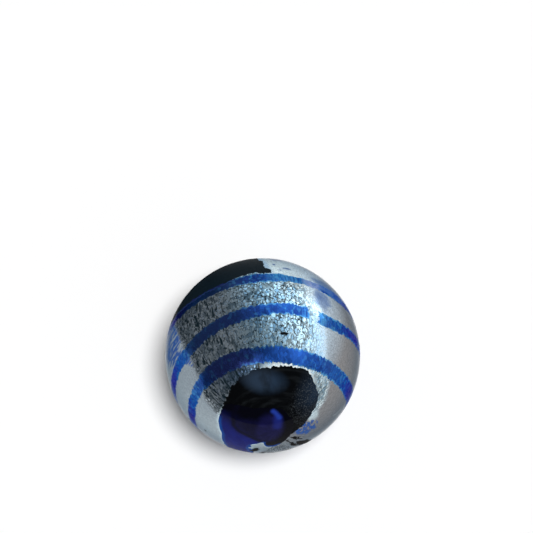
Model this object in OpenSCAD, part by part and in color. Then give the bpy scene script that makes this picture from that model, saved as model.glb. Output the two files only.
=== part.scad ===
// Glass marble: one solid ball of fused glass.
// A black glass ball is rolled in silver leaf, a rod of blue glass is wound round it from a
// blob at one pole, and all of it is melted in and rolled until it is flush and truly round.
// Nothing can be taken apart, nothing is hollow and nothing stands out of the skin, so the
// leaf and the wound trail are colour in the skin and the ball is one solid.

/* [Ball] */
// Diameter of the finished ball
ball_d = 22; // [12:0.5:50]

/* [Hidden] */

// Number of facets round the ball where it is drawn as a mesh
round_facets = 128;

// The fused ball, centred on the origin
module marble() {
    color("midnightblue")
        sphere(d = ball_d, $fn = round_facets);
}

marble();
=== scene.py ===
"""Looks of a glass marble: a black glass ball, crackled silver leaf torn open at both poles, and a
blue glass trail that starts as a blob at one pole and winds round the ball to the other."""

import math

import bmesh
import bpy
import numpy as np
from mathutils import Matrix, Vector, kdtree, noise


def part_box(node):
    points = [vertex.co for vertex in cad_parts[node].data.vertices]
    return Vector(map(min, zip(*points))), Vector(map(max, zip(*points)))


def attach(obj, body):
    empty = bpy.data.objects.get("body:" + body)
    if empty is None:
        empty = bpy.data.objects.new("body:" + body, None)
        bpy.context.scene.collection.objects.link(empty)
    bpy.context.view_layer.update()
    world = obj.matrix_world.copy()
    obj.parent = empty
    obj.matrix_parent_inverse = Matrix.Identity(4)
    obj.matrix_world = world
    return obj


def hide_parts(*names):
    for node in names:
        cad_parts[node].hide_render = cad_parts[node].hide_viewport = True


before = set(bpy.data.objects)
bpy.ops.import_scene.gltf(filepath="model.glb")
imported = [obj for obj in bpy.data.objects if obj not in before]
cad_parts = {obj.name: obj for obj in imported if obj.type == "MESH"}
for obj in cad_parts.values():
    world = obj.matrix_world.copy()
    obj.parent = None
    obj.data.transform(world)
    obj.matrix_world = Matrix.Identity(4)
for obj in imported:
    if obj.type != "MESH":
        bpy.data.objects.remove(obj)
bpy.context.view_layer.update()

MM = 0.001
ball_low, ball_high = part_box("marble")
RADIUS = (ball_high.z - ball_low.z) / 2

# The three skins lie flush, this far below one another, and the core is the lowest
SKIN_STEP = 0.005 * MM
LEAF_THICKNESS = 0.02 * MM
TRAIL_DEPTH = 0.5 * MM

# The line of sight in which the pattern is laid out, nearly straight down
VIEW_ELEVATION = math.radians(86)
# Where the blob's pole lies in that view: off the line of sight, and round it from the right
POLE_TILT = math.radians(49.6)
POLE_CLOCK = math.radians(-79.2)


def view_axes(elevation):
    """The view's right, up and backward directions in the row frame, as a matrix's columns."""
    right = Vector((1, 0, 0))
    up = Vector((0, math.sin(elevation), math.cos(elevation)))
    return Matrix((right, up, right.cross(up))).transposed()


def pole_axes():
    """The pattern's own axes in the row frame: azimuth 0 lies to the view's top, and +Z at the pole."""
    tilt, clock = POLE_TILT, POLE_CLOCK
    pole = Vector((math.sin(tilt) * math.cos(clock), math.sin(tilt) * math.sin(clock), math.cos(tilt)))
    top = Vector((0, 1, 0))
    zero = (top - pole * top.dot(pole)).normalized()
    return view_axes(VIEW_ELEVATION) @ Matrix((zero, pole.cross(zero), pole)).transposed()


POLE_AXES = np.array(pole_axes())

# The trail from its arm out of the blob to its tail: degrees wound, degrees from the pole, half width
TRAIL_POINTS = [
    (112, 24, 8.0), (129, 27, 8.6), (150, 34.5, 7.7), (163, 44, 7.2), (185, 52, 6.0), (210, 56, 5.0),
    (240, 58, 4.5), (265, 57, 4.5), (285, 50, 4.5), (315, 46.8, 4.5), (345, 47.4, 4.5),
    (375, 49.9, 4.5), (400, 51.8, 4.6), (424, 52.4, 4.5), (434, 52.3, 3.1), (455, 52.6, 2.9),
    (466, 53.3, 2.9), (487, 58.8, 2.9), (530, 68, 3.6), (575, 76, 3.8), (620, 81, 3.8),
    (650, 78.8, 3.6), (672, 74.2, 3.2), (686, 72.6, 4.0), (697, 72.8, 3.8), (708, 75.2, 3.3),
    (722, 75.8, 3.5), (735, 75.4, 3.6), (747, 74.8, 3.9), (764, 74, 3.6), (784, 71.8, 3.5),
    (800, 71.7, 3.1), (822, 72.3, 3.2), (850, 76, 3.8), (880, 81, 3.8), (950, 92, 3.9),
    (1010, 97, 3.5), (1030, 96.3, 3.9), (1047, 96.2, 3.9), (1058, 97.2, 2.6), (1066, 98.1, 2.4),
    (1074, 98.4, 3.4), (1094, 99.6, 4.4), (1105, 99, 3.2), (1115, 98.6, 2.8), (1125, 99.1, 2.9),
    (1137, 99.9, 2.9), (1147, 101, 3.0), (1165, 103, 3.4), (1240, 113, 3.9), (1330, 124, 3.8),
    (1380, 131, 3.7), (1410, 142, 3.6), (1440, 147.5, 3.6), (1480, 147, 3.5), (1510, 146, 3.4),
    (1600, 150, 3.2), (1690, 156, 2.6), (1750, 161, 1.8), (1800, 166, 0.6),
]
# Outline of the blob round its pole: azimuth, degrees from the pole
BLOB_POINTS = [
    (0, 17), (25, 19.5), (45, 22), (58, 29), (66, 34), (75, 34.4), (91, 34.2), (105, 33.5), (116, 33),
    (126, 33.4), (135, 32), (141, 24), (145, 16.5), (152, 12.8), (160, 15), (168, 18), (184, 16.7),
    (205, 12.6), (227, 10.1), (260, 8.8), (290, 9.5), (338, 13),
]
# Edge of the leaf round the blob's pole and round the far one, in the same way
NEAR_EDGE_POINTS = [
    (0, 41.8), (20, 43), (45, 41), (64, 36), (83, 34), (110, 28), (150, 10), (180, 14), (205, 10),
    (230, 8), (250, 9.5), (268, 11.5), (281, 15.2), (295, 19.6), (302, 23), (308, 28), (313, 31.3),
    (321, 34), (330, 36.6), (335, 40), (342, 41.8), (350, 42.6),
]
FAR_EDGE_POINTS = [
    (-5, 150), (-3, 102.8), (6, 103.3), (11, 104.4), (18, 104.5), (25, 102.6), (31, 101.2),
    (36, 100.8), (46, 101.4), (57, 102.4), (65, 103.4), (72, 104.2), (90, 107), (110, 113), (150, 122),
    (190, 138), (230, 150), (300, 158), (340, 156),
]
# Where that gap ends on its right: degrees from the pole, azimuth
FAR_EDGE_SIDE = [
    (102, -0.5), (103.6, 2.2), (108.6, 3.2), (109.4, 4.6), (113.6, 5.1), (126.8, 6.1), (150, 7),
]
# Smaller tears in the leaf: azimuth, degrees from the pole, half length outwards, half width
TEARS = [
    (226, 29, 8, 3.2), (218, 21, 7, 1.1), (236, 15, 5, 1.3), (161, 29, 8, 2.4), (176, 37, 8, 1.8),
    (120, 46.3, 0.9, 0.8), (0.5, 60.6, 0.8, 1.8), (205, 112, 6, 1.6), (251, 131, 9, 2.2),
    (262, 96, 3, 1.1),
]
# A break in the trail, in the same way, where the leaf shows again as painted glare
GLARE_BREAK = (-19.6, 76.5, 8, 3.6)
# Blue glass dragged over the leaf, in the same way
SMEARS = [
    (77, 88.5, 14, 12.5), (67.8, 67.3, 3.6, 2.6), (-92, 17, 6.5, 4.4), (-6, 127, 6, 3.0),
    (-8, 109, 1.6, 2.4), (-1.5, 114.5, 2.2, 1.0), (-3, 107.4, 1.0, 0.9), (201, 97, 12, 5),
    (243, 124, 8, 5),
]
# Thin blue haze over the leaf and the trail, in the same way
HAZES = [
    (-36, 100, 9, 15), (-27, 87, 9, 7), (-52, 102, 6, 13), (150, 118, 12, 16),
]
# Single patches, in the same way: crackle in painted deeper shade, a crackled scrap beyond the blob, a
# pale fleck at the gap's edge, the trail where the haze washes it out, and painted glare by its break
DIM_PATCH = (40, 44, 8, 18)
SCRAP = (192, 27, 16, 10)
PALE_FLECK = (-68, 22.5, 3.4, 4.2)
WASHED_PATCH = (-22, 97.8, 8, 7.5)
GLARE_BY_BREAK = (-21, 76, 14, 11)
# Where the leaf lies smooth: degrees from the pole, the azimuth past which it does to the left, and
# to the right
CALM_LEFT = [
    (36, 83), (40.6, 80.4), (47, 76.7), (51.4, 71), (57.4, 67), (67, 65), (80, 67), (89, 67.7),
    (98, 71), (120, 80),
]
CALM_RIGHT = [
    (10, -66), (20, -64), (27.4, -60.5), (32.6, -56.8), (38, -49.5), (43, -45), (48, -37), (52, -33),
    (58, -31), (66, -28.8), (72, -27), (76, -25), (84, -24.5), (93, -24), (98, -19), (101, -10),
    (103, 1.5), (150, 6), (158, -40),
]
# What frays the outlines, as layers of noise: degrees, waves per radius, seed
TRAIL_FRAY = [(0.3, 7, 1), (0.2, 30, 2)]
BLOB_FRAY = [(0.3, 12, 3)]
BLOB_FOOT_FRAY = [(2.6, 17, 11)]
GLARE_BREAK_FRAY = [(1.2, 26, 9), (0.8, 60, 10)]
LEAF_FRAY = [(0.8, 12, 4), (0.6, 30, 5), (0.4, 70, 6)]
# The same for the haze and the pale fleck, as shares of their thickness
HAZE_FRAY = [(0.8, 5, 12), (0.8, 14, 13)]
FLECK_FRAY = [(0.8, 30, 14)]
# The smooth leaf's colour, partly its own tint, partly painted reflection and glare: azimuth, colour
TONES_AND_REFLECTION = [
    (-170, (0.30, 0.33, 0.35)), (-105, (0.20, 0.203, 0.217)), (-78, (0.225, 0.226, 0.235)),
    (-48, (0.25, 0.244, 0.246)), (-28, (0.54, 0.67, 0.79)), (0, (0.78, 0.95, 1.0)),
    (45, (0.29, 0.35, 0.40)), (80, (0.29, 0.35, 0.40)), (110, (0.45, 0.53, 0.575)),
    (150, (0.45, 0.53, 0.575)),
]


def eased(points, at, ease, period=None):
    """Values at the places in at, along straight lines between the points with rounded corners."""
    table = np.array(points, float)
    if period:
        table = np.vstack([table - [period, 0], table, table + [period, 0]])
    offsets = np.linspace(-ease, ease, 9)
    weights = np.cos(offsets / ease * math.pi / 2) ** 2 + 1e-6
    samples = [np.interp(at + o, table[:, 0], table[:, 1]) for o in offsets]
    return np.average(samples, axis=0, weights=weights)


def ramp(values, start, end):
    """Rises from 0 at start to 1 at end, which may be the lower number, and is held beyond them."""
    return np.clip((values - start) / (end - start), 0, 1)


def span(values, start, full, fading, end):
    """1 from full to fading, and 0 outside start to end."""
    return np.minimum(ramp(values, start, full), ramp(values, end, fading))


def from_pole(azimuth, polar):
    """Unit vectors in the pattern's axes, from angles in degrees."""
    a, p = np.radians(azimuth), np.radians(polar)
    return np.stack([np.sin(p) * np.cos(a), np.sin(p) * np.sin(a), np.cos(p)], -1)


# The trail's line in steps of half a degree, with the corners between its points rounded off
TRAIL_STEP = 0.5
TRAIL_EASE = 16
TRAIL_WOUND = np.arange(TRAIL_POINTS[0][0], TRAIL_POINTS[-1][0], TRAIL_STEP)
TRAIL_POLAR = eased([(w, p) for w, p, h in TRAIL_POINTS], TRAIL_WOUND, TRAIL_EASE)
TRAIL_HALF = eased([(w, h) for w, p, h in TRAIL_POINTS], TRAIL_WOUND, TRAIL_EASE)
TRAIL_LINE = from_pole(TRAIL_WOUND, TRAIL_POLAR)
trail_tree = kdtree.KDTree(len(TRAIL_LINE))
for index, place in enumerate(TRAIL_LINE):
    trail_tree.insert(place, index)
trail_tree.balance()


def ripple(places, scale, seed):
    """Smooth noise from about -1 to 1 at unit vectors; scale is its waves per radius."""
    shift = Vector((seed * 7.31, seed * 3.17, seed * 5.73))
    return np.array([noise.noise(Vector(p) * scale + shift) for p in places])


def frayed(places, layers):
    """Layers of that noise added up."""
    return sum(amount * ripple(places, scale, seed) for amount, scale, seed in layers)


def teeth(azimuth, polar, scale, seed):
    """Noise like ripple's, but drawn out along the lines that run from the pole."""
    a = np.radians(azimuth)
    return ripple(np.stack([np.cos(a), np.sin(a), np.radians(polar) / 5], -1), scale, seed)


def angles(places):
    """Azimuth and degrees from the pole of unit vectors in the pattern's axes."""
    azimuth = np.degrees(np.arctan2(places[:, 1], places[:, 0]))
    return azimuth, np.degrees(np.arccos(np.clip(places[:, 2], -1, 1)))


def near_trail(places):
    """The nearest point of the trail's line to each unit vector: its index, and the degrees to it."""
    found = [trail_tree.find(p) for p in places]
    index = np.array([f[1] for f in found])
    return index, np.degrees(np.array([f[2] for f in found]))


def spot(places, azimuth, polar, half_along, half_across):
    """1 in the middle of an oval patch and 0 on its rim; the first half size runs from the pole."""
    a, p = angles(places)
    turn = (a - azimuth + 180) % 360 - 180
    across = turn * np.sin(np.radians(polar))
    return 1 - np.hypot((p - polar) / half_along, across / half_across)


def hole_cover(places, row):
    """About how many degrees inside an oval patch, negative outside."""
    return spot(places, *row) * row[3]


def spots(places, table):
    """1 in the middle of the nearest patch in the table, 0 on its rim, and -1 well outside."""
    return np.clip(np.max([spot(places, *row) for row in table], axis=0), -1, 1)


def trail_cover(places):
    """Degrees inside the trail and its blob, negative outside."""
    index, away = near_trail(places)
    azimuth, polar = angles(places)
    serrated = 1.1 * teeth(azimuth, polar, scale=38, seed=8) * ramp(TRAIL_WOUND[index], 200, 260)
    band = TRAIL_HALF[index] + frayed(places, TRAIL_FRAY) + serrated - away
    blob = eased(BLOB_POINTS, azimuth % 360, ease=5, period=360) - polar
    cover = np.maximum(band, blob + frayed(places, BLOB_FRAY))
    # The blob's foot frays more, beside the arm that leaves it
    foot = ramp(np.abs(azimuth - 154), 24, 4) * ramp(polar, 45, 37)
    cover = cover + foot * frayed(places, BLOB_FOOT_FRAY)
    # Less the break, where the leaf shows as painted glare
    return np.minimum(cover, frayed(places, GLARE_BREAK_FRAY) - hole_cover(places, GLARE_BREAK))


def leaf_cover(places):
    """Degrees inside the leaf, negative in its gaps and tears."""
    azimuth, polar = angles(places)
    near = polar - eased(NEAR_EDGE_POINTS, azimuth % 360, ease=8, period=360)
    far = eased(FAR_EDGE_POINTS, azimuth % 360, ease=2, period=360) - polar
    # Right of its end, the far gap's edge runs along an azimuth and not round the pole
    beside = np.interp(polar, *np.transpose(FAR_EDGE_SIDE)) - azimuth
    far = np.where(np.abs(azimuth) < 12, np.maximum(far, beside * np.sin(np.radians(polar))), far)
    cover = np.minimum(near, far)
    for tear in TEARS:
        cover = np.minimum(cover, -hole_cover(places, tear))
    return cover + frayed(places, LEAF_FRAY) + 0.9 * teeth(azimuth, polar, scale=30, seed=7)


def directions(bm):
    """The vertices' directions, in the pattern's axes."""
    row = np.array([v.co.normalized() for v in bm.verts])
    return row @ POLE_AXES


def ball_mesh(subdivisions):
    bm = bmesh.new()
    bmesh.ops.create_icosphere(bm, subdivisions=subdivisions, radius=1.0)
    return bm


def refine(bm, cover, reach):
    """Halves the edges that lie within reach degrees of an outline."""
    values = cover(directions(bm))
    close = np.abs(values) < reach
    bm.verts.index_update()
    edges = [e for e in bm.edges if close[e.verts[0].index] and close[e.verts[1].index]]
    bmesh.ops.subdivide_edges(bm, edges=edges, cuts=1, use_grid_fill=True)
    bmesh.ops.triangulate(bm, faces=[f for f in bm.faces if len(f.verts) > 3])
    for v in bm.verts:
        v.co.normalize()


def cut_to(bm, cover):
    """Cuts a unit ball's skin along the outline where cover is 0, and keeps what lies inside."""
    values = cover(directions(bm))
    layer = bm.verts.layers.float.new("cover")
    bm.verts.ensure_lookup_table()
    for v, value in zip(bm.verts, values):
        v[layer] = value
    born = []
    for edge in list(bm.edges):
        a, b = edge.verts
        if a[layer] * b[layer] < 0:
            share = a[layer] / (a[layer] - b[layer])
            new = bmesh.utils.edge_split(edge, a, share)[1]
            new[layer] = 0
            born.append(new)
    bmesh.ops.connect_verts(bm, verts=born)
    outside = [f for f in bm.faces if sum(v[layer] for v in f.verts) < 0]
    bmesh.ops.delete(bm, geom=outside, context="FACES")
    loose = [v for v in bm.verts if not v.link_faces]
    bmesh.ops.delete(bm, geom=loose, context="VERTS")
    bmesh.ops.triangulate(bm, faces=[f for f in bm.faces if len(f.verts) > 3])
    for v in bm.verts:
        v.co.normalize()
    return layer


def thicken(bm, layer, radius, depth_at):
    """Makes a closed skin: outside at radius, inside lower by depth_at(degrees from the outline)."""
    made = bmesh.ops.extrude_face_region(bm, geom=list(bm.faces), use_keep_orig=True)
    outer = {v for v in made["geom"] if isinstance(v, bmesh.types.BMVert)}
    for v in bm.verts:
        drop = 0 if v in outer else depth_at(v[layer])
        v.co = v.co.normalized() * (radius - drop)
    bmesh.ops.recalc_face_normals(bm, faces=list(bm.faces))


def add_mesh(name, bm):
    mesh = bpy.data.meshes.new(name)
    bm.to_mesh(mesh)
    bm.free()
    mesh.shade_smooth()
    piece = bpy.data.objects.new(name, mesh)
    bpy.context.scene.collection.objects.link(piece)
    return piece


def mark(piece, name, values):
    """Stores one value, or one vector, for each vertex, for the materials to read."""
    kind, key = ("FLOAT", "value") if np.ndim(values) == 1 else ("FLOAT_VECTOR", "vector")
    attribute = piece.data.attributes.new(name, kind, "POINT")
    attribute.data.foreach_set(key, np.asarray(values, np.float32).ravel())


def piece_directions(piece):
    """The same as directions(), for a finished piece."""
    co = np.empty(len(piece.data.vertices) * 3)
    piece.data.vertices.foreach_get("co", co)
    co = co.reshape(-1, 3)
    return co / np.linalg.norm(co, axis=1, keepdims=True) @ POLE_AXES


# The edges' angles past which a skin's rim is shaded sharp, so that its outside is shaded as a true ball
LEAF_SHARP = math.radians(40)
TRAIL_SHARP = math.radians(30)
# Fineness of the balls that the skins are cut from, and of the core
SKIN_SUBDIVISIONS = 6
CORE_SUBDIVISIONS = 7
# Degrees from an outline within which each round of refining halves the edges
LEAF_REACHES = (4.0, 2.0, 1.0)
TRAIL_REACHES = (4.0, 2.0)


def make_leaf():
    bm = ball_mesh(SKIN_SUBDIVISIONS)
    for reach in LEAF_REACHES:
        refine(bm, leaf_cover, reach)
    layer = cut_to(bm, leaf_cover)
    thicken(bm, layer, RADIUS - SKIN_STEP, lambda inside: LEAF_THICKNESS)
    leaf = add_mesh("leaf", bm)
    leaf.data.set_sharp_from_angle(angle=LEAF_SHARP)
    return leaf


def make_trail():
    bm = ball_mesh(SKIN_SUBDIVISIONS)
    for reach in TRAIL_REACHES:
        refine(bm, trail_cover, reach)
    layer = cut_to(bm, trail_cover)
    widest = max(TRAIL_HALF)

    def round_below(inside):
        share = min(max(inside, 0) / widest, 1)
        return SKIN_STEP + TRAIL_DEPTH * math.sin(share * math.pi / 2)

    thicken(bm, layer, RADIUS, round_below)
    trail = add_mesh("trail", bm)
    trail.data.set_sharp_from_angle(angle=TRAIL_SHARP)
    return trail


# Degrees inside an outline where the core begins to sink below that skin, and where it is down
SEAT_START = 1.2
LEAF_SEAT_END = 2.2
TRAIL_SEAT_END = 3.7


def make_core():
    """The black ball, with a channel pressed in under the trail and a seat under the leaf."""
    bm = ball_mesh(CORE_SUBDIVISIONS)
    places = directions(bm)
    under_trail = ramp(trail_cover(places), SEAT_START, TRAIL_SEAT_END)
    under_leaf = ramp(leaf_cover(places), SEAT_START, LEAF_SEAT_END)
    for v, trail, leaf in zip(bm.verts, under_trail, under_leaf):
        drop = 2 * SKIN_STEP + LEAF_THICKNESS * leaf + TRAIL_DEPTH * trail
        v.co = v.co.normalized() * (RADIUS - drop)
    return add_mesh("core", bm)


def add_node(tree, kind, inputs=None, **settings):
    """Adds a node. inputs maps its sockets to values, or to the sockets that feed them."""
    made = tree.nodes.new(kind)
    for name, value in settings.items():
        setattr(made, name, value)
    for key, value in (inputs or {}).items():
        if isinstance(value, bpy.types.NodeSocket):
            tree.links.new(value, made.inputs[key])
        else:
            made.inputs[key].default_value = value
    return made


def calc(tree, operation, *values, clamp=False):
    """The result of a math node."""
    inputs = dict(enumerate(values))
    return add_node(tree, "ShaderNodeMath", inputs, operation=operation, use_clamp=clamp).outputs[0]


def calc_vector(tree, operation, *values):
    """The result of a vector math node, which for a dot product or a distance is one number."""
    made = add_node(tree, "ShaderNodeVectorMath", dict(enumerate(values)), operation=operation)
    return made.outputs["Value" if operation in ("DOT_PRODUCT", "DISTANCE") else "Vector"]


def scaled(tree, vector, amount):
    made = add_node(tree, "ShaderNodeVectorMath", {0: vector, "Scale": amount}, operation="SCALE")
    return made.outputs["Vector"]


def between(tree, value, low, high, to_low=0.0, to_high=1.0):
    """value taken from the range low to high into another, smoothly and held at the ends."""
    inputs = {"Value": value, "From Min": low, "From Max": high, "To Min": to_low, "To Max": to_high}
    made = add_node(tree, "ShaderNodeMapRange", inputs, interpolation_type="SMOOTHSTEP")
    return made.outputs["Result"]


def blend_colour(tree, share, a, b):
    """Colour a where share is 0, and b where it is 1."""
    inputs = {0: share, 6: a, 7: b}
    return add_node(tree, "ShaderNodeMix", inputs, data_type="RGBA").outputs[2]


def tinted(tree, share, colour, tint):
    """The colour where share is 0, and multiplied by the tint where it is 1."""
    inputs = {0: share, 6: colour, 7: tint}
    return add_node(tree, "ShaderNodeMix", inputs, data_type="RGBA", blend_type="MULTIPLY").outputs[2]


def noise_at(tree, where, scale, detail=2.0, output="Fac"):
    inputs = {"Vector": where, "Scale": scale, "Detail": detail}
    return add_node(tree, "ShaderNodeTexNoise", inputs).outputs[output]


def drawn_noise(tree, wound, stretch, detail=3.0):
    """Drawn-out noise. stretch is its waves per radius, round the pole in x and y, outwards in z."""
    return noise_at(tree, calc_vector(tree, "MULTIPLY", wound, stretch), 1.0, detail)


def read(tree, name, output="Fac"):
    """A value or vector that a piece's mesh holds for each vertex."""
    return add_node(tree, "ShaderNodeAttribute", attribute_name=name).outputs[output]


def covered(tree, colour, name, cover):
    """The colour, with another laid over it as thick as the mesh's mark of that name says."""
    return blend_colour(tree, read(tree, name), colour, cover)


def rgb(red, green, blue):
    return (red, green, blue, 1.0)


def new_material(name, piece):
    """Gives the piece a new material, and returns its node tree."""
    material = bpy.data.materials.new(name)
    material.use_nodes = True
    piece.data.materials.append(material)
    return material.node_tree


# The smooth glass surface over each piece
COAT_ROUGHNESS = 0.03
GLASS_IOR = 1.5


def glossy_material(name, piece, edge_tint, coat):
    """Tree and shader of a smooth glass surface over what the tree's nodes will make."""
    tree = new_material(name, piece)
    shader = tree.nodes["Principled BSDF"]
    shader.inputs["Specular IOR Level"].default_value = 0.0
    shader.inputs["Specular Tint"].default_value = edge_tint
    shader.inputs["Coat Weight"].default_value = coat
    shader.inputs["Coat Roughness"].default_value = COAT_ROUGHNESS
    shader.inputs["Coat IOR"].default_value = GLASS_IOR
    return tree, shader


def feed(tree, shader, **sockets):
    """Links values to the shader's sockets, which are named with _ for a space."""
    for name, value in sockets.items():
        tree.links.new(value, shader.inputs[name.replace("_", " ")])


# The leaf's crackle, as cells per radius, and how it is drawn out from the pole
CRACKLE = 38
LONG_CRACKS = 12
DRAWN_OUT = (0.85, 0.85, 0.7)
# How far the cells' edges are shaken, in radii, in the leaf, in its long cracks and in the trail
LEAF_SHAKE = 0.024
LONG_SHAKE = 0.09
TRAIL_SHAKE = 0.014
# The mean of a random vector whose parts run from 0 to 1
MIDDLE = (0.5, 0.5, 0.5)


def crackle(tree, where, scale, uneven):
    """Broken cells: a random vector in each, and the distance to its edge."""
    shake = noise_at(tree, where, scale * 0.8, output="Color")
    shake = scaled(tree, calc_vector(tree, "SUBTRACT", shake, MIDDLE), uneven)
    inputs = {"Vector": calc_vector(tree, "ADD", where, shake), "Scale": scale}
    cells = add_node(tree, "ShaderNodeTexVoronoi", inputs)
    edges = add_node(tree, "ShaderNodeTexVoronoi", inputs, feature="DISTANCE_TO_EDGE")
    return cells.outputs["Color"], edges.outputs["Distance"]


def channels(tree, colour):
    """A colour's or a random vector's three parts."""
    return list(add_node(tree, "ShaderNodeSeparateColor", {"Color": colour}).outputs)[:3]


def tilted_normal(tree, cell, amount):
    """The surface's normal, leaned another way in each cell."""
    lean = scaled(tree, calc_vector(tree, "SUBTRACT", cell, MIDDLE), amount)
    straight = add_node(tree, "ShaderNodeNewGeometry").outputs["Normal"]
    return calc_vector(tree, "NORMALIZE", calc_vector(tree, "ADD", straight, lean))


def gap_to(tree, flat, points):
    """Degrees on the flat map from a line through the points."""
    nearest = None
    for start, end in zip(points, points[1:]):
        start, end = Vector((*start, 0)), Vector((*end, 0))
        way = end - start
        from_start = calc_vector(tree, "SUBTRACT", flat, start)
        along = calc_vector(tree, "DOT_PRODUCT", from_start, way / way.length_squared)
        along = calc(tree, "ADD", along, 0.0, clamp=True)
        gap = calc_vector(tree, "DISTANCE", from_start, scaled(tree, way, along))
        nearest = gap if nearest is None else calc(tree, "MINIMUM", nearest, gap)
    return nearest


# The leaf's cells from deep to bright, painted glare where it is hardly cracked, and where it lies level
SILVER_DEEP = rgb(0.30, 0.45, 0.54)
SILVER = rgb(0.56, 0.75, 0.86)
SILVER_BRIGHT = rgb(0.86, 0.99, 1.0)
SILVER_GLARE = rgb(0.60, 0.73, 0.83)
# Duller where it lies level, which is partly painted shade
DULL_DEEP = rgb(0.2, 0.215, 0.23)
DULL = rgb(0.5, 0.52, 0.55)
# What its colour is multiplied by for painted shade: left of the middle, and in the dim patch
SHADED_TINT = rgb(0.6, 0.79, 0.93)
DIMMED_TINT = rgb(0.3, 0.4, 0.56)
# The smooth leaf's grain, cracks, painted highlights on edges, the blue glass over it, and the scratches
GRAIN = rgb(0.16, 0.18, 0.2)
CRACK_BLACK = rgb(0.006, 0.014, 0.02)
LIP_HIGHLIGHT = rgb(0.60, 0.76, 0.83)
STRIP_HIGHLIGHT = rgb(0.92, 1.0, 1.0)
SMEAR_DEEP = rgb(0.014, 0.05, 0.26)
SMEAR_BLUE = rgb(0.045, 0.11, 0.33)
HAZE = rgb(0.11, 0.19, 0.39)
SCRATCH = rgb(0.7, 0.74, 0.76)
# Fine scratches across the leaf, on the flat map
SCRATCHES = [[(-41.5, 61.5), (-44, 59.5), (-51, 60)], [(-37.5, -1), (-41, -1.8), (-45, -0.6)]]


def cell_silver(tree, shade, quiet):
    """The colour of the crackled leaf, by each cell's own shade, with painted glare and shade."""
    silver = blend_colour(tree, between(tree, shade, -0.2, 0.5), SILVER_DEEP, SILVER)
    bright = between(tree, quiet, 0.0, 1.0, 1.0, 0.7)
    bright = calc(tree, "MULTIPLY", bright, between(tree, shade, 0.1, 0.7))
    silver = blend_colour(tree, bright, silver, SILVER_BRIGHT)
    # Painted glare where the leaf is hardly cracked
    glare = between(tree, read(tree, "cracked"), 0.2, 1.0, 0.85, 0.0)
    silver = blend_colour(tree, glare, silver, SILVER_GLARE)
    # Painted shade left of the middle
    silver = tinted(tree, read(tree, "shaded"), silver, SHADED_TINT)
    # Duller where it lies level, partly as painted shade
    dull = blend_colour(tree, between(tree, shade, 0.0, 0.8), DULL_DEEP, DULL)
    silver = blend_colour(tree, calc(tree, "MULTIPLY", quiet, 0.8), silver, dull)
    # Painted shade in the dim patch
    return tinted(tree, read(tree, "dimmed"), silver, DIMMED_TINT)


def leaf_cracks(tree, wound, where, edge, chance, patchy, quiet):
    """Where the black glass below shows through the crackled leaf."""
    # Round the cells, and not everywhere at the right
    width = calc(tree, "MULTIPLY_ADD", quiet, 0.12, between(tree, patchy, 0.3, 0.7, 0.3, 0.17))
    crack = between(tree, edge, 0.02, width, 1.0, 0.0)
    shaded = read(tree, "shaded")
    whole = between(tree, noise_at(tree, where, 50), 0.4, 0.55, 0.1, 1.0)
    whole = calc(tree, "MAXIMUM", whole, calc(tree, "MULTIPLY", shaded, 0.75))
    crack = calc(tree, "MULTIPLY", crack, whole)
    # Long wandering cracks, and lost cells
    long_edge = crackle(tree, where, LONG_CRACKS, LONG_SHAKE)[1]
    crack = calc(tree, "MAXIMUM", crack, between(tree, long_edge, 0.0, 0.06, 0.8, 0.0))
    crack = calc(tree, "MAXIMUM", crack, between(tree, chance, 0.9, 0.94, 0.0, 0.7))
    # Strokes out from the gap's edge, and creases where the leaf is in shade or lies level
    strokes = between(tree, drawn_noise(tree, wound, (52, 52, 8)), 0.52, 0.58)
    crack = calc(tree, "MAXIMUM", crack, calc(tree, "MULTIPLY", strokes, read(tree, "stroked")))
    creases = between(tree, drawn_noise(tree, wound, (40, 40, 10)), 0.52, 0.57)
    creases = calc(tree, "MULTIPLY", creases, between(tree, patchy, 0.3, 0.5))
    creased = calc(tree, "MAXIMUM", calc(tree, "MULTIPLY", shaded, 0.7), quiet)
    crack = calc(tree, "MAXIMUM", crack, calc(tree, "MULTIPLY", creases, creased))
    return calc(tree, "MULTIPLY", crack, read(tree, "cracked"))


def with_blue_glass(tree, silver, wound, patchy, calm):
    """The leaf's colour with the smears and the haze of blue glass over it."""
    streaks = drawn_noise(tree, wound, (6, 6, 44), 4)
    smear = calc(tree, "ADD", read(tree, "smear"), between(tree, streaks, 0.41, 0.57, -0.7, 0.75))
    smear = calc(tree, "MULTIPLY", between(tree, smear, 0.0, 0.2), calm)
    blue = blend_colour(tree, between(tree, streaks, 0.35, 0.65), SMEAR_DEEP, SMEAR_BLUE)
    silver = blend_colour(tree, smear, silver, blue)
    haze = calc(tree, "MULTIPLY", read(tree, "haze"), between(tree, patchy, 0.3, 0.6, 0.75, 1.0))
    return blend_colour(tree, haze, silver, HAZE)


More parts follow.
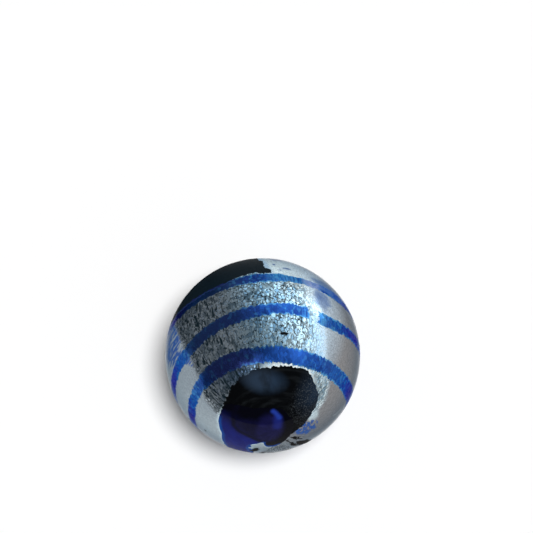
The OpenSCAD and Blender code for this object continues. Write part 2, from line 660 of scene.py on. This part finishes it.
def paint_leaf(leaf):
    tree, shader = glossy_material("silver_leaf", leaf, edge_tint=rgb(0.35, 0.4, 0.45), coat=0.12)
    wound = read(tree, "wound", "Vector")
    where = calc_vector(tree, "MULTIPLY", wound, DRAWN_OUT)
    cell, edge = crackle(tree, where, CRACKLE, LEAF_SHAKE)
    calm = read(tree, "calm")
    quiet = read(tree, "quiet")
    patchy = noise_at(tree, where, 9, 3)
    shade, gloss, chance = channels(tree, cell)
    shade = calc(tree, "ADD", shade, between(tree, patchy, 0.3, 0.7, -0.25, 0.2))

    crack = leaf_cracks(tree, wound, where, edge, chance, patchy, quiet)
    grain = between(tree, noise_at(tree, where, 70, 3), 0.3, 0.75, 0.0, 0.36)
    # The smooth leaf's colour, partly painted reflection and glare, with its grain
    smooth = blend_colour(tree, grain, read(tree, "tone", "Vector"), GRAIN)
    silver = blend_colour(tree, calm, cell_silver(tree, shade, quiet), smooth)
    silver = blend_colour(tree, crack, silver, CRACK_BLACK)
    # Painted highlights along the leaf's edges
    silver = covered(tree, silver, "lip_highlight", LIP_HIGHLIGHT)
    silver = covered(tree, silver, "strip_highlight", STRIP_HIGHLIGHT)
    silver = with_blue_glass(tree, silver, wound, patchy, calm)
    flat = read(tree, "flat", "Vector")
    for line in SCRATCHES:
        scratched = between(tree, gap_to(tree, flat, line), 0.1, 0.7, 0.45, 0.0)
        silver = blend_colour(tree, scratched, silver, SCRATCH)

    still = calc(tree, "MAXIMUM", calm, quiet)
    normal = tilted_normal(tree, cell, between(tree, still, 0.0, 1.0, 0.08, 0.04))
    metal = calc(tree, "SUBTRACT", 1.0, crack, clamp=True)
    roughness = between(tree, still, 0.0, 1.0, 0.24, 0.1)
    roughness = calc(tree, "MULTIPLY_ADD", gloss, 0.06, roughness)
    feed(tree, shader, Base_Color=silver, Metallic=metal, Roughness=roughness, Normal=normal)


# The blob on the flat map: the dark fold along its arm, with a line on from either end of it to part
# the arm from the rest, and the painted reflection that curls at its middle, with its tail
FOLD_END = [(16, 34), (22, 20)]
FOLD_LINE = [
    (25, 15), (26.5, 7), (25, -0.6), (21.7, -3.9), (18.7, -5.2), (14.9, -6.8), (11, -8.9), (8, -10.5),
]
ARM_EDGE = [(5, -24), (4, -60)]
CURL_LINE = [(4.6, 15.4), (3.1, 14.3), (1.4, 12.4), (0.6, 11)]
CURL_TAIL = [(1.4, 10.5), (0.8, 7.5), (0.8, 4.5)]
# Oval patches on the flat map, as degrees across and up it, half width and half height: the blob's dark
# lobe and the dim glass beside it, and the core's specks and its painted blue-grey reflections
DARK_LOBE = (5, 1.3, 9.5, 14)
DIM_LOBE = (16, -0.5, 10, 9)
SPECKS = (-17, 17, 14, 21)
REFLECTION_PATCH = (12, 33, 16, 8.5)
FAINT_REFLECTION_PATCH = (-20, 24, 14, 20)

# The trail over the leaf: deep and plain blue, dusk in the shade at its left, cracks, painted shade,
# specks, dulled places, painted light and glare, its frayed rim, and the haze over it
BAND_DEEP = rgb(0.012, 0.038, 0.21)
BAND_BLUE = rgb(0.022, 0.115, 0.42)
BAND_DUSK = rgb(0.055, 0.068, 0.25)
BAND_CRACK = rgb(0.006, 0.012, 0.08)
BAND_SHADED_TINT = rgb(0.5, 0.5, 0.6)
BAND_SPECK = rgb(0.08, 0.3, 0.55)
BAND_DULLED = rgb(0.06, 0.15, 0.33)
BAND_LIT = rgb(0.05, 0.2, 0.75)
BAND_GLARE_PALE = rgb(0.09, 0.33, 0.62)
BAND_FRAYED = rgb(0.12, 0.36, 0.58)
BAND_HAZE = rgb(0.20, 0.28, 0.53)
BAND_WASHED = rgb(0.30, 0.37, 0.60)
# The trail where no leaf lies behind it
BARE_DEEP = rgb(0.006, 0.012, 0.05)
BARE_BLUE = rgb(0.010, 0.02, 0.12)
# The blob: its arm far out and near in, black glass inside, partly painted shade, what lies over both
# Far out, the arm is painted lighter, and near in, painted in shade
ARM_DEEP = rgb(0.006, 0.010, 0.15)
ARM_BLUE = rgb(0.009, 0.018, 0.22)
ARM_NEAR = rgb(0.006, 0.009, 0.10)
BLOB_BLACK = rgb(0.0014, 0.0014, 0.004)
LOBE_BLUE = rgb(0.009, 0.009, 0.062)
FOLD_BLACK = rgb(0.002, 0.002, 0.008)
# Painted reflection: the curl and its tail
TAIL_REFLECTION = rgb(0.012, 0.02, 0.17)
CURL_REFLECTION = rgb(0.016, 0.042, 0.31)
# Painted light along the rim's lit side
RIM_BLUE = rgb(0.006, 0.065, 0.32)


def band_blue(tree, wound, where, edge, shares, inside):
    """The colour of the wound trail, from its crackle's edge and its cells' three random shares."""
    shade, speck, chance = shares
    patchy = noise_at(tree, where, 8, 3)
    strokes = drawn_noise(tree, wound, (48, 48, 7))
    tone = calc(tree, "MULTIPLY_ADD", shade, 0.45, between(tree, patchy, 0.3, 0.7, 0.0, 0.35))
    tone = calc(tree, "ADD", tone, between(tree, strokes, 0.3, 0.7, 0.0, 0.4))
    band = blend_colour(tree, tone, BAND_DEEP, BAND_BLUE)
    band = covered(tree, band, "dusk", BAND_DUSK)
    band = blend_colour(tree, between(tree, edge, 0.0, 0.16, 0.35, 0.0), band, BAND_CRACK)
    # Painted shade
    band = tinted(tree, read(tree, "shaded"), band, BAND_SHADED_TINT)
    band = blend_colour(tree, between(tree, speck, 0.78, 0.95, 0.0, 0.4), band, BAND_SPECK)
    band = covered(tree, band, "dulled", BAND_DULLED)
    # Painted light near the middle
    band = covered(tree, band, "lit_band", BAND_LIT)
    # Painted glare beside the break and round it
    glare_paled = calc(tree, "MULTIPLY", read(tree, "glare_paled"), between(tree, strokes, 0.35, 0.6, 0.15, 1.0))
    band = blend_colour(tree, glare_paled, band, BAND_GLARE_PALE)
    feather = calc(tree, "MULTIPLY_ADD", chance, 1.3, calc(tree, "SUBTRACT", inside, 0.9))
    feather = calc(tree, "MULTIPLY", between(tree, feather, 0.0, 0.5, 0.7, 0.0), read(tree, "frayed"))
    band = blend_colour(tree, feather, band, BAND_FRAYED)
    band = covered(tree, band, "haze", BAND_HAZE)
    band = covered(tree, band, "washed", BAND_WASHED)
    bare = blend_colour(tree, patchy, BARE_DEEP, BARE_BLUE)
    return blend_colour(tree, read(tree, "backing"), bare, band)


def blob_blue(tree, wound, inside):
    """The blob's colour, with its fold, painted light and shade, and a curled painted reflection."""
    flat = read(tree, "flat", "Vector")
    swirl = drawn_noise(tree, wound, (3.52, 3.52, 11.2))
    glass = blend_colour(tree, between(tree, swirl, 0.3, 0.7), ARM_DEEP, ARM_BLUE)
    # Painted light on the arm far out, and painted shade near in and inside
    glass = blend_colour(tree, read(tree, "far_arm"), ARM_NEAR, glass)
    glass = blend_colour(tree, read(tree, "arm"), BLOB_BLACK, glass)
    lobe = calc(tree, "MULTIPLY", read(tree, "lobe"), between(tree, swirl, 0.3, 0.7, 0.6, 1.0))
    glass = blend_colour(tree, lobe, glass, LOBE_BLUE)
    fold = between(tree, gap_to(tree, flat, FOLD_LINE), 0.3, 2.2, 0.75, 0.0)
    glass = blend_colour(tree, fold, glass, FOLD_BLACK)
    # A painted reflection that curls, with its tail
    tail_reflection = between(tree, gap_to(tree, flat, CURL_TAIL), 0.8, 4.0, 0.8, 0.0)
    glass = blend_colour(tree, tail_reflection, glass, TAIL_REFLECTION)
    curl_reflection = between(tree, gap_to(tree, flat, CURL_LINE), 0.2, 2.4, 0.95, 0.0)
    glass = blend_colour(tree, curl_reflection, glass, CURL_REFLECTION)
    # Painted light along the rim's lit side
    rim = calc(tree, "MULTIPLY", between(tree, inside, 0.6, 2.8, 1.0, 0.0), read(tree, "lit_rim"))
    return blend_colour(tree, rim, glass, RIM_BLUE)


def paint_trail(trail):
    tree, shader = glossy_material("blue_glass", trail, edge_tint=rgb(0.02, 0.16, 0.4), coat=0.12)
    wound = read(tree, "wound", "Vector")
    where = calc_vector(tree, "MULTIPLY", wound, DRAWN_OUT)
    cell, edge = crackle(tree, where, CRACKLE, TRAIL_SHAKE)
    shares = channels(tree, cell)
    inside = read(tree, "inside")
    band = band_blue(tree, wound, where, edge, shares, inside)
    begun = read(tree, "begun")
    colour = blend_colour(tree, begun, blob_blue(tree, wound, inside), band)
    normal = tilted_normal(tree, cell, between(tree, read(tree, "quiet"), 0.0, 1.0, 0.12, 0.04))
    roughness = between(tree, shares[0], 0.0, 1.0, 0.16, 0.28)
    metal = calc(tree, "MULTIPLY", read(tree, "backing"), begun)
    feed(tree, shader, Base_Color=colour, Metallic=metal, Roughness=roughness, Normal=normal)


# The core: black, faint streaks, greener round the far pole; painted reflection and specks by the blob
CORE_BLACK = rgb(0.002, 0.0023, 0.0028)
CORE_STREAK = rgb(0.008, 0.0095, 0.011)
CORE_FAR_GREEN = rgb(0.005, 0.013, 0.020)
CORE_REFLECTION = rgb(0.016, 0.030, 0.055)
CORE_SPECK = rgb(0.06, 0.07, 0.08)


def paint_core(core):
    tree, shader = glossy_material("black_glass", core, edge_tint=rgb(1, 1, 1), coat=0.07)
    wound = read(tree, "wound", "Vector")
    streak = drawn_noise(tree, wound, (3, 3, 22), 4)
    colour = blend_colour(tree, between(tree, streak, 0.45, 0.75), CORE_BLACK, CORE_STREAK)
    colour = covered(tree, colour, "far_green", CORE_FAR_GREEN)
    # A painted blue-grey reflection by the blob
    cloud = between(tree, noise_at(tree, wound, 4, 4), 0.3, 0.6, 0.35, 1.0)
    painted_reflection = calc(tree, "MULTIPLY", read(tree, "painted_reflection"), cloud)
    colour = blend_colour(tree, painted_reflection, colour, CORE_REFLECTION)
    specks = between(tree, noise_at(tree, wound, 60, 3), 0.56, 0.66)
    specks = calc(tree, "MULTIPLY", specks, read(tree, "mottle"))
    colour = blend_colour(tree, specks, colour, CORE_SPECK)
    roughness = between(tree, streak, 0.3, 0.7, 0.12, 0.3)
    feed(tree, shader, Base_Color=colour, Roughness=roughness)


def mark_wound(piece, azimuth, polar):
    """The pattern's coordinates for noise: the azimuth on a circle, and radians from the pole."""
    a = np.radians(azimuth)
    mark(piece, "wound", np.stack([np.cos(a), np.sin(a), np.radians(polar)], -1))


def flat_map(azimuth, polar):
    """Degrees across and up a flat map round the pole, whose top is azimuth 0."""
    a = np.radians(azimuth)
    return polar * np.sin(a), polar * np.cos(a)


def mark_shared(piece, azimuth, polar):
    """Marks what the leaf and the trail both read: the flat map, and where the crackle lies level."""
    mark_wound(piece, azimuth, polar)
    u, v = flat_map(azimuth, polar)
    mark(piece, "flat", np.stack([u, v, 0 * u], -1))
    mark(piece, "quiet", span(azimuth, 8, 36, 152, 180))


def haze_at(places):
    """How thick the blue haze is, with a ragged rim."""
    return spots(places, HAZES) * 2.4 + frayed(places, HAZE_FRAY)


def past_line(azimuth, polar, line):
    """Degrees to the left of a line from its points of degrees from the pole and azimuth."""
    return (azimuth - np.interp(polar, *np.transpose(line))) * np.sin(np.radians(polar))


def dress_leaf(leaf):
    places = piece_directions(leaf)
    azimuth, polar = angles(places)
    mark_shared(leaf, azimuth, polar)
    mark(leaf, "smear", np.minimum(spots(places, SMEARS) * 2, 0.5))
    mark(leaf, "haze", np.clip(haze_at(places), 0, 0.95))

    # Smooth at the left and the right, and crackled again behind
    behind = ramp(polar, 45, 60)
    left = ramp(past_line(azimuth, polar, CALM_LEFT), 0, 1.5) * (1 - behind * ramp(azimuth, 150, 168))
    right_end = 1 - behind * ramp(azimuth, -132, -150)
    past = -past_line(azimuth, polar, CALM_RIGHT)
    right = ramp(past, -0.66, 1.54) * right_end
    mark(leaf, "calm", np.maximum(left, right))
    # The cracks fade before the smooth right side, and least near the gap
    faded = ramp(past, -15, -1) * right_end * np.maximum(ramp(polar, 36, 50), 0.3)
    faded = np.maximum(faded, right)
    scrap = np.clip(spot(places, *SCRAP) * 2, 0, 0.8)
    mark(leaf, "cracked", np.maximum(np.minimum(1 - 0.9 * left, 1 - 0.85 * faded), scrap))

    # The smooth leaf's colour round the pole, partly painted reflection and glare
    channel_points = [[(at, colour[c]) for at, colour in TONES_AND_REFLECTION] for c in range(3)]
    tone = [eased(points, azimuth, ease=5, period=360) for points in channel_points]
    mark(leaf, "tone", np.stack(tone, -1))
    # Painted shade left of the middle, and in the dim patch
    mark(leaf, "shaded", ramp(azimuth, -14, 14))
    mark(leaf, "dimmed", np.clip(spot(places, *DIM_PATCH) * 1.2, 0, 0.9))
    # Dark strokes, and painted highlights on the edges round the gap and beside the blob's arm
    inside = leaf_cover(places)
    mark(leaf, "stroked", ramp(inside, 9, 3) * ramp(polar, 60, 50))
    lip_highlight = ramp(-trail_cover(places), 1.3, 0) * ramp(azimuth, 50, 70) * ramp(polar, 45, 39)
    fleck = spot(places, *PALE_FLECK) * 2 + frayed(places, FLECK_FRAY)
    # The lip's painted highlight, with the pale fleck
    mark(leaf, "lip_highlight", np.maximum(lip_highlight * 0.9, np.clip(fleck, 0, 0.6)))
    strip_highlight = ramp(inside, 4.2, 0.7) * span(azimuth, -38, -23, 7, 22)
    mark(leaf, "strip_highlight", strip_highlight * (polar < 56) * 0.9)
    paint_leaf(leaf)


def line_gap(u, v, points):
    """Degrees on the flat map from a line through the points to each vertex, and the vertex's side."""
    place = np.stack([u, v], -1)
    nearest, side = np.full(len(u), np.inf), np.zeros(len(u))
    for start, end in zip(np.array(points[:-1], float), np.array(points[1:], float)):
        way = end - start
        along = np.clip((place - start) @ way / np.sum(way ** 2), 0, 1)
        gap = place - start - along[:, None] * way
        length = np.linalg.norm(gap, axis=1)
        closer = length < nearest
        nearest[closer] = length[closer]
        side[closer] = np.sign(way[0] * gap[:, 1] - way[1] * gap[:, 0])[closer]
    return nearest, side


def flat_spot(u, v, centre_u, centre_v, half_u, half_v):
    """1 in the middle of an oval patch on the flat map, and 0 on its rim."""
    return 1 - np.hypot((u - centre_u) / half_u, (v - centre_v) / half_v)


def dress_trail(trail):
    places = piece_directions(trail)
    azimuth, polar = angles(places)
    mark_shared(trail, azimuth, polar)
    mark(trail, "inside", np.clip(trail_cover(places), -1, 8))
    mark(trail, "backing", ramp(leaf_cover(places), 0, 0.8))
    index = near_trail(places)[0]
    mark(trail, "begun", ramp(TRAIL_WOUND[index], 170, 186) * ramp(polar, 37, 42))

    mark(trail, "dusk", span(azimuth, 12, 34, 54, 66) * 0.85)
    # Painted shade on the outer band, left of the middle
    mark(trail, "shaded", ramp(azimuth, 0, 10) * ramp(polar, 85, 91))
    mark(trail, "dulled", span(azimuth, 15, 50, 62, 68) * np.minimum(ramp(polar, 48, 110), 0.65))
    # Painted light on the inner band near the middle
    mark(trail, "lit_band", np.minimum(span(azimuth, -20, -8, 6, 18), 0.8) * (polar < 60))
    # Painted glare on the trail beside its break, and round it
    glare_paled = np.minimum(span(azimuth, -24, -16, -6, 8), 0.6) * ramp(polar, 82, 94)
    glare_by_break = np.clip(spot(places, *GLARE_BY_BREAK) * 1.6, 0, 0.7)
    mark(trail, "glare_paled", np.maximum(glare_paled, glare_by_break))
    mark(trail, "frayed", np.maximum(ramp(azimuth, 50, 10), 0.25))
    mark(trail, "haze", np.clip(haze_at(places), 0, 0.85))
    mark(trail, "washed", np.clip(spot(places, *WASHED_PATCH) * 1.6, 0, 0.85))

    u, v = flat_map(azimuth, polar)
    gap, side = line_gap(u, v, FOLD_END + FOLD_LINE + ARM_EDGE)
    softness = 5 + 6 * ramp(v, -6, 6)
    # Painted light and shade on the blob: blue on its arm, lighter far out, black inside
    mark(trail, "arm", np.clip(gap * side / softness + 0.5, 0, 1) * ramp(v, 10, -1))
    mark(trail, "far_arm", ramp(v, 4, -18))
    lobe = np.clip(flat_spot(u, v, *DARK_LOBE) * 3, 0, 1)
    dim = np.clip(flat_spot(u, v, *DIM_LOBE) * 2, 0, 0.45)
    mark(trail, "lobe", np.maximum(lobe, dim))
    # Painted light along the blob's rim, on its lit side
    mark(trail, "lit_rim", np.where(u > 0, ramp(v, 4, -1), ramp(v, -12, -15)))
    paint_trail(trail)


def dress_core(core):
    azimuth, polar = angles(piece_directions(core))
    mark_wound(core, azimuth, polar)
    mark(core, "far_green", ramp(polar, 80, 90) * 0.8)
    u, v = flat_map(azimuth, polar)
    mark(core, "mottle", np.clip(flat_spot(u, v, *SPECKS) * 3, 0, 1))
    # Painted reflection by the blob
    painted_reflection = np.maximum(flat_spot(u, v, *REFLECTION_PATCH), flat_spot(u, v, *FAINT_REFLECTION_PATCH) * 0.5)
    mark(core, "painted_reflection", np.clip(painted_reflection * 1.7, 0, 1))
    paint_core(core)


core = make_core()
leaf = make_leaf()
trail = make_trail()
dress_core(core)
dress_leaf(leaf)
dress_trail(trail)
for piece, slot in ((core, "core_glass"), (leaf, "silver_leaf"), (trail, "trail_glass")):
    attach(piece, "root")
    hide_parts("marble")

# The photograph's frame, and the ball's circle in it, in its pixels
FRAME_SIDE = 533
BALL_CENTRE = (262.7, 355.3)
BALL_RADIUS = 97.3
# The lens and the sensor in millimetres
LENS = 100
SENSOR = 36


def add_camera():
    data = bpy.data.cameras.new("camera")
    data.lens = LENS
    data.sensor_width = SENSOR
    data.clip_start = 1 * MM
    pixel = SENSOR / FRAME_SIDE / LENS
    distance = RADIUS / math.sin(math.atan(BALL_RADIUS * pixel))
    right, up, back = view_axes(VIEW_ELEVATION).transposed()
    aside = (FRAME_SIDE / 2 - BALL_CENTRE[0]) * pixel * distance
    above = (BALL_CENTRE[1] - FRAME_SIDE / 2) * pixel * distance
    camera = bpy.data.objects.new("camera", data)
    camera.location = back * distance
    aim = right * aside + up * above
    toward = (aim - camera.location).normalized()
    side = toward.cross(up).normalized()
    camera.matrix_world = Matrix.Translation(camera.location) @ Matrix(
        (side, side.cross(toward), -toward)
    ).transposed().to_4x4()
    bpy.context.scene.collection.objects.link(camera)
    bpy.context.scene.camera = camera


# The floor in metres, and the white of the paper and of the cards
FLOOR_RADIUS = 3
PAPER_WHITE = rgb(0.95, 0.95, 0.95)


def add_floor():
    bm = bmesh.new()
    bmesh.ops.create_circle(bm, cap_ends=True, segments=64, radius=FLOOR_RADIUS)
    for v in bm.verts:
        v.co.z = ball_low.z
    floor = add_mesh("floor", bm)
    shader = new_material("white_paper", floor).nodes["Principled BSDF"]
    shader.inputs["Base Color"].default_value = PAPER_WHITE
    shader.inputs["Roughness"].default_value = 0.9
    shader.inputs["Specular IOR Level"].default_value = 0.0


# The light from above, as a share of full white, and the rest from all round
SUN_SHARE = 0.92
SKY_SHARE = 0.15
# Where the light comes from, and how wide it looks from the ball
SUN_DIRECTION = Vector((0.146, 0.038, 1))
SUN_ANGLE = math.radians(18)


def add_sun():
    data = bpy.data.lights.new("sun", "SUN")
    data.energy = SUN_SHARE * math.pi
    data.angle = SUN_ANGLE
    sun = bpy.data.objects.new("sun", data)
    sun.rotation_euler = SUN_DIRECTION.to_track_quat("Z", "Y").to_euler()
    sun.visible_glossy = False
    sun.visible_transmission = False
    bpy.context.scene.collection.objects.link(sun)


def add_world():
    """White to the eye and in reflections, and plain soft light on everything else."""
    world = bpy.data.worlds.new("studio")
    world.use_nodes = True
    bpy.context.scene.world = world
    tree = world.node_tree
    background = tree.nodes["Background"]
    path = add_node(tree, "ShaderNodeLightPath").outputs
    seen = calc(tree, "MAXIMUM", path["Is Camera Ray"], path["Is Glossy Ray"])
    seen = calc(tree, "MAXIMUM", seen, path["Is Transmission Ray"])
    strength = calc(tree, "MULTIPLY_ADD", seen, 1 - SKY_SHARE, SKY_SHARE)
    background.inputs["Color"].default_value = rgb(1, 1, 1)
    tree.links.new(strength, background.inputs["Strength"])


# What only reflections show: a dark room (its radius in metres), a lamp low at the upper right, and a
# soft patch overhead
ROOM_RADIUS = 0.5
ROOM_DARK = (0.12, 0.14, 0.18)
WIDE_GLOW = (0.10, 0.20, 0.27)
NEAR_GLOW = (0.95, 1.19, 1.39)
LAMP = (2.5, 2.6, 2.7)
OVERHEAD = (1.6, 1.9, 2.2)
LAMP_DIRECTION = Vector((0.74, 0.67, 0.05)).normalized()
OVERHEAD_DIRECTION = Vector((-0.1, -0.45, 0.88)).normalized()


def only_in_reflections(stage_piece):
    stage_piece.visible_camera = False
    stage_piece.visible_diffuse = False
    stage_piece.visible_shadow = False
    stage_piece.visible_transmission = False


def glow_material(name, piece):
    """Gives the piece a material that only glows, and returns its tree and the light's colour."""
    tree = new_material(name, piece)
    tree.nodes.clear()
    light = add_node(tree, "ShaderNodeEmission")
    add_node(tree, "ShaderNodeOutputMaterial", {"Surface": light.outputs[0]})
    return tree, light.inputs["Color"]


def add_room():
    """The room above the paper: dark, and brighter towards the lamp."""
    bm = bmesh.new()
    bmesh.ops.create_uvsphere(bm, u_segments=64, v_segments=32, radius=ROOM_RADIUS)
    below = [f for f in bm.faces if f.calc_center_median().z < 0]
    bmesh.ops.delete(bm, geom=below, context="FACES")
    room = add_mesh("room", bm)
    room.location.z = ball_low.z
    tree, light_colour = glow_material("room_light", room)
    place = add_node(tree, "ShaderNodeTexCoord").outputs["Object"]
    way = calc_vector(tree, "NORMALIZE", place)
    facing = calc_vector(tree, "DOT_PRODUCT", way, LAMP_DIRECTION)
    overhead = calc_vector(tree, "DOT_PRODUCT", way, OVERHEAD_DIRECTION)
    parts = [
        (WIDE_GLOW, calc(tree, "POWER", calc(tree, "MULTIPLY_ADD", facing, 0.5, 0.5), 2.0)),
        (NEAR_GLOW, calc(tree, "POWER", between(tree, facing, 0.1, 0.92), 1.2)),
        (LAMP, between(tree, facing, 0.990, 0.998)),
        (OVERHEAD, between(tree, overhead, 0.93, 0.995)),
    ]
    total = ROOM_DARK
    for colour, share in parts:
        total = calc_vector(tree, "ADD", scaled(tree, colour, share), total)
    tree.links.new(total, light_colour)
    only_in_reflections(room)


# A dark card flat on the paper at the upper left, in radii from the ball's middle, and how it pales
DARK_CARD = [(-0.3, 0.72), (-3, 0.88), (-8, 0.8), (-45, 0.3), (-45, 60), (-4, 60)]
DARK_CARD_LIFT = 0.02 * MM
DARK_CARD_PALE = rgb(0.9, 0.9, 0.9)
# White cards low at the left and the right, in degrees round from the right and up from the ball's
# middle
WHITE_CARDS = {
    "left_card": [
        (180, -4), (180, 0.5), (184, 1.8), (196, 8.2), (206, 6.8), (215, 2.2), (231, 0), (231, -4),
    ],
    "right_card": [(-26, -4), (-21, 8), (-9, 15), (8, 15.5), (22, 15), (29, 12), (33, 5), (35, -4)],
}
# In metres
CARD_DISTANCE = 0.3


def add_dark_card():
    bm = bmesh.new()
    height = ball_low.z + DARK_CARD_LIFT
    bm.faces.new([bm.verts.new((x * RADIUS, y * RADIUS, height)) for x, y in DARK_CARD])
    card = add_mesh("dark_card", bm)
    tree, light_colour = glow_material("dark_card", card)
    place = add_node(tree, "ShaderNodeTexCoord").outputs["Object"]
    across, up = add_node(tree, "ShaderNodeSeparateXYZ", {0: place}).outputs[:2]
    paling = between(tree, calc(tree, "DIVIDE", across, up), -0.75, -0.1)
    tree.links.new(blend_colour(tree, paling, rgb(*ROOM_DARK), DARK_CARD_PALE), light_colour)
    only_in_reflections(card)


def add_white_cards():
    for name, outline in WHITE_CARDS.items():
        bm = bmesh.new()
        corners = []
        for turn, rise in outline:
            a, e = math.radians(turn), math.radians(rise)
            way = Vector((math.cos(a) * math.cos(e), math.sin(a) * math.cos(e), math.sin(e)))
            corners.append(bm.verts.new(way * CARD_DISTANCE))
        bm.faces.new(corners)
        bmesh.ops.triangulate(bm, faces=list(bm.faces))
        card = add_mesh(name, bm)
        light_colour = glow_material(name, card)[1]
        light_colour.default_value = PAPER_WHITE
        only_in_reflections(card)


add_camera()
add_floor()
add_sun()
add_world()
add_room()
add_dark_card()
add_white_cards()
bpy.context.scene.view_settings.view_transform = "Standard"
